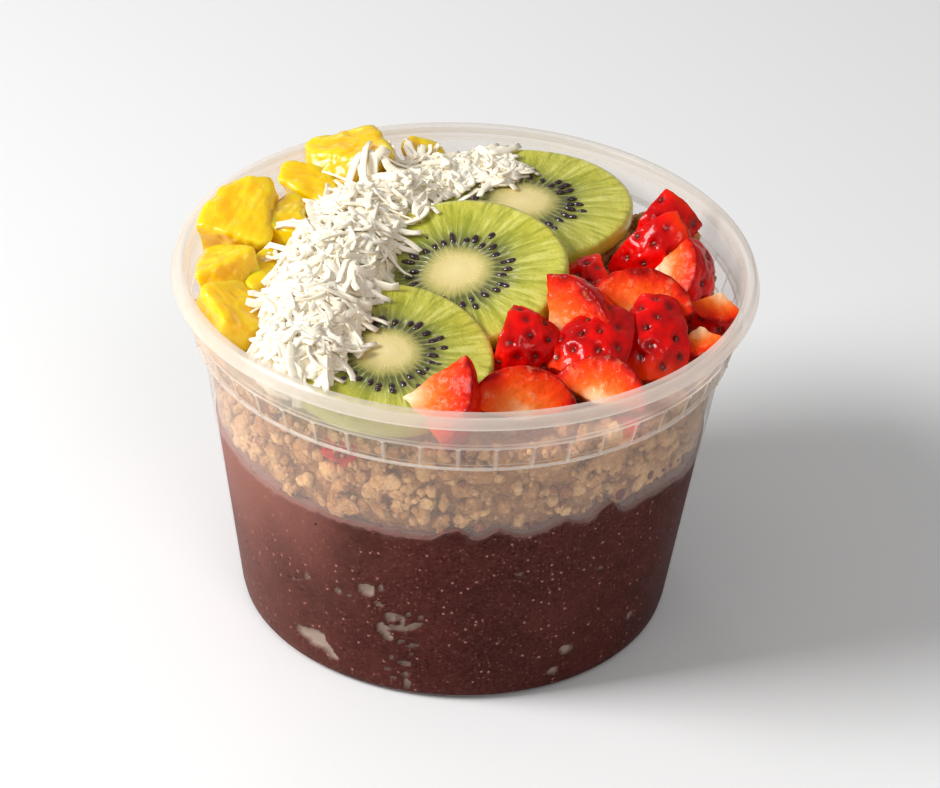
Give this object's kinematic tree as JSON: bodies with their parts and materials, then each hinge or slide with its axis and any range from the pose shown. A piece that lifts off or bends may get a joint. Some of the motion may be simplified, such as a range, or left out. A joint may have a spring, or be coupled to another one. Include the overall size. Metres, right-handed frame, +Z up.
{
  "type": "acai bowl",
  "caption": "Acai bowl in a round translucent deli tub: acai blend under granola, topped with kiwi slices, strawberry and pineapple pieces and shredded coconut.",
  "frame": {"origin": "on the table, under the middle of the tub's base", "axes": "+Z up through the tub's mouth, -Y towards the front, where the kiwi slices fan down to the rim"},
  "size_m": [0.1168, 0.1168, 0.0818],
  "materials": {
    "tub_plastic": "thin translucent polypropylene, satin",
    "acai_blend": "frozen fruit blend, fine grained, moist",
    "granola": "baked oat clusters, rough and dry",
    "shredded_coconut": "moist white shreds",
    "kiwi": "wet cut fruit, streaked, with dark seeds",
    "strawberry": "glossy seeded skin and moist cut flesh",
    "pineapple": "wet fibrous cut fruit"
  },
  "bodies": {
    "root": {"tub": "tub_plastic", "acai": "acai_blend", "granola": "granola", "coconut": "shredded_coconut", "kiwi_slice_back": "kiwi", "kiwi_slice_middle": "kiwi", "kiwi_slice_front": "kiwi", "strawberry_01": "strawberry", "strawberry_02": "strawberry", "strawberry_03": "strawberry", "strawberry_04": "strawberry", "strawberry_05": "strawberry", "strawberry_06": "strawberry", "strawberry_07": "strawberry", "strawberry_08": "strawberry", "strawberry_09": "strawberry", "strawberry_10": "strawberry", "strawberry_11": "strawberry", "strawberry_12": "strawberry", "strawberry_13": "strawberry", "strawberry_14": "strawberry", "strawberry_15": "strawberry", "strawberry_16": "strawberry", "pineapple_01": "pineapple", "pineapple_02": "pineapple", "pineapple_03": "pineapple", "pineapple_04": "pineapple", "pineapple_05": "pineapple", "pineapple_06": "pineapple", "pineapple_07": "pineapple", "pineapple_08": "pineapple"}
  },
  "joints": []
}
